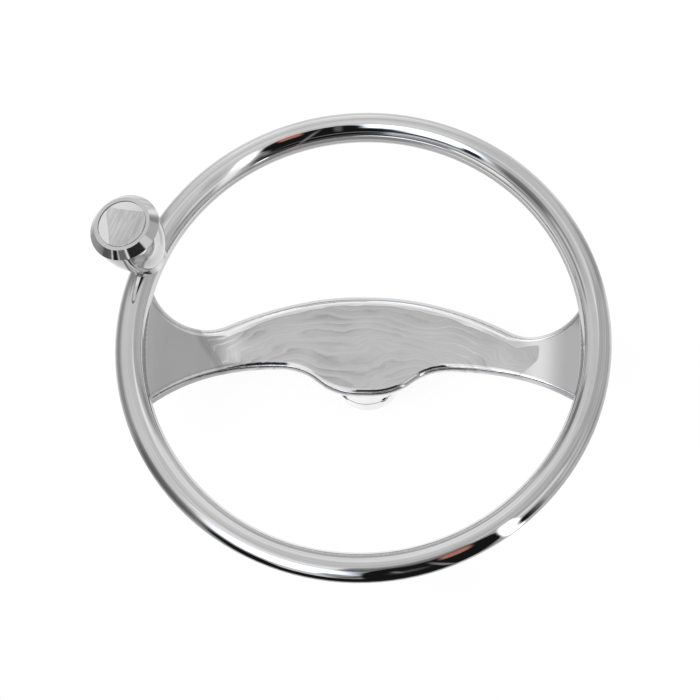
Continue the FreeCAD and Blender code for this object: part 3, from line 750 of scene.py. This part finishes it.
def end_bearings(side):
    """First and last bearing of the bead, measured from the spoke's own direction. The casting's end wall
    touches the tube, and its upper corners are rolled, so the bead stops short of them."""
    points = mesh_points("spoke_casting")
    reach = np.hypot(points[:, 0], points[:, 1])
    from_tube = np.hypot(reach - rim_radius, points[:, 2] - rim_height)
    ends = points[(from_tube < tube_radius + 0.0003) & (points[:, 0] * side > 0)]
    bearing = np.arctan2(ends[:, 1], ends[:, 0] * side)
    return bearing.min() + BEAD_MARGIN, bearing.max() - BEAD_MARGIN


def bead(side):
    """Closed section carried along the tube. The face's height is level - slope * inward, where inward and
    rise are measured from the tube's centre. The right bead's rows run backwards, so that the faces of
    both look outward."""
    first, last = end_bearings(side)
    share = np.linspace(0, 1, 97)[:, None]
    bearing = first + (last - first) * share
    fade = np.sqrt(np.clip(np.sin(np.pi * share), 0, 1))
    radius = BEAD_END + (BEAD_RADIUS - BEAD_END) * fade * (1 + 0.05 * np.sin(bearing * 260))
    slope = FACE_SLOPE * np.cos(bearing)
    level = slope * (rim_radius - FACE_REACH / np.cos(bearing)) - FACE_DROP
    lift = level + radius * np.sqrt(1 + slope**2)
    reach = tube_radius + radius
    root = np.sqrt(lift**2 * slope**2 - (1 + slope**2) * (lift**2 - reach**2))
    middle = (lift * slope + root) / (1 + slope**2)
    middle_up = lift - slope * middle
    start = np.arctan2(-middle_up, -middle)
    finish = np.arctan2(-1.0, -slope) + 0 * middle
    start = np.where(start > finish, start - 2 * np.pi, start)
    arc = start + (finish - start) * np.linspace(0, 1, 13)
    corner = np.sqrt((tube_radius - BEAD_SINK) ** 2 - (level - BEAD_SINK) ** 2)
    inward = np.concatenate([middle + radius * np.cos(arc), corner], axis=1)
    rise = np.concatenate([middle_up + radius * np.sin(arc), level - slope * corner - BEAD_SINK], axis=1)
    from_axle = rim_radius - inward
    x = from_axle * np.cos(bearing) * side
    y = from_axle * np.sin(bearing)
    points = np.stack([x, y, rim_height + rise], axis=-1)
    return points[::-side]


for name, side in (("right_weld_bead", 1), ("left_weld_bead", -1)):
    weld = show(name, grid_mesh(name, bead(side), closed=True, capped=True), rim_steel)
    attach(weld, "wheel")
    print(name, "faces:", len(weld.data.polygons))

# %% [markdown]
# ## Hidden and small pieces
#
# The fasteners inside the knob are plain turned steel, less bright than the outside. The bushes are
# bearing bronze, and the washer and the core are plastic.

# %% Hidden and small pieces
def plain_steel(name):
    """Turned steel as it comes off the lathe."""
    material, paint = new_material(name)
    marks = paint.noise(0.0009, detail=3.0, scale=(0.2, 0.2, 1.0))
    colour = paint.blend(marks, (0.42, 0.42, 0.42), (0.55, 0.55, 0.54))
    paint.finish(colour, 0.22 + 0.16 * marks, paint.bump(marks, 0.00001))
    return material


def bronze(name):
    """Bearing bronze with small dark pores and a brown bloom."""
    material, paint = new_material(name)
    bloom = paint.noise(0.006, detail=4.0)
    pores = paint.noise(0.0006, detail=1.0).rise(0.62, 0.72)
    colour = paint.blend(bloom.rise(0.35, 0.7), (0.66, 0.42, 0.20), (0.50, 0.29, 0.13))
    colour = paint.blend(pores * 0.5, colour, (0.14, 0.08, 0.05))
    paint.finish(colour, 0.28 + 0.2 * bloom, paint.bump(1 - pores, 0.00002))
    return material


def moulded(name, light, dark, roughness):
    """Moulded plastic with a fine eroded grain."""
    material, paint = new_material(name)
    grain = paint.noise(0.0007, detail=3.0)
    patches = paint.noise(0.012, detail=2.0)
    colour = paint.blend(patches.rise(0.3, 0.75), light, dark)
    paint.finish(colour, roughness + 0.12 * grain, paint.bump(grain, 0.00003), metallic=0.0)
    return material


fastener_steel = plain_steel("plain turned steel")
for node in ("grub_screws", "knob_spindle", "head_washer", "spring_washer", "retaining_nut"):
    finish_node(node, fastener_steel)
bush_bronze = bronze("bearing bronze")
for node in ("lower_bush", "upper_bush"):
    finish_node(node, bush_bronze)
acetal = moulded("natural acetal", (0.82, 0.81, 0.76), (0.74, 0.73, 0.68), 0.35)
finish_node("thrust_washer", acetal)
black_plastic = moulded("black core plastic", (0.035, 0.035, 0.038), (0.022, 0.022, 0.024), 0.42)
finish_node("knob_core", black_plastic)
print("every solid has a finish")
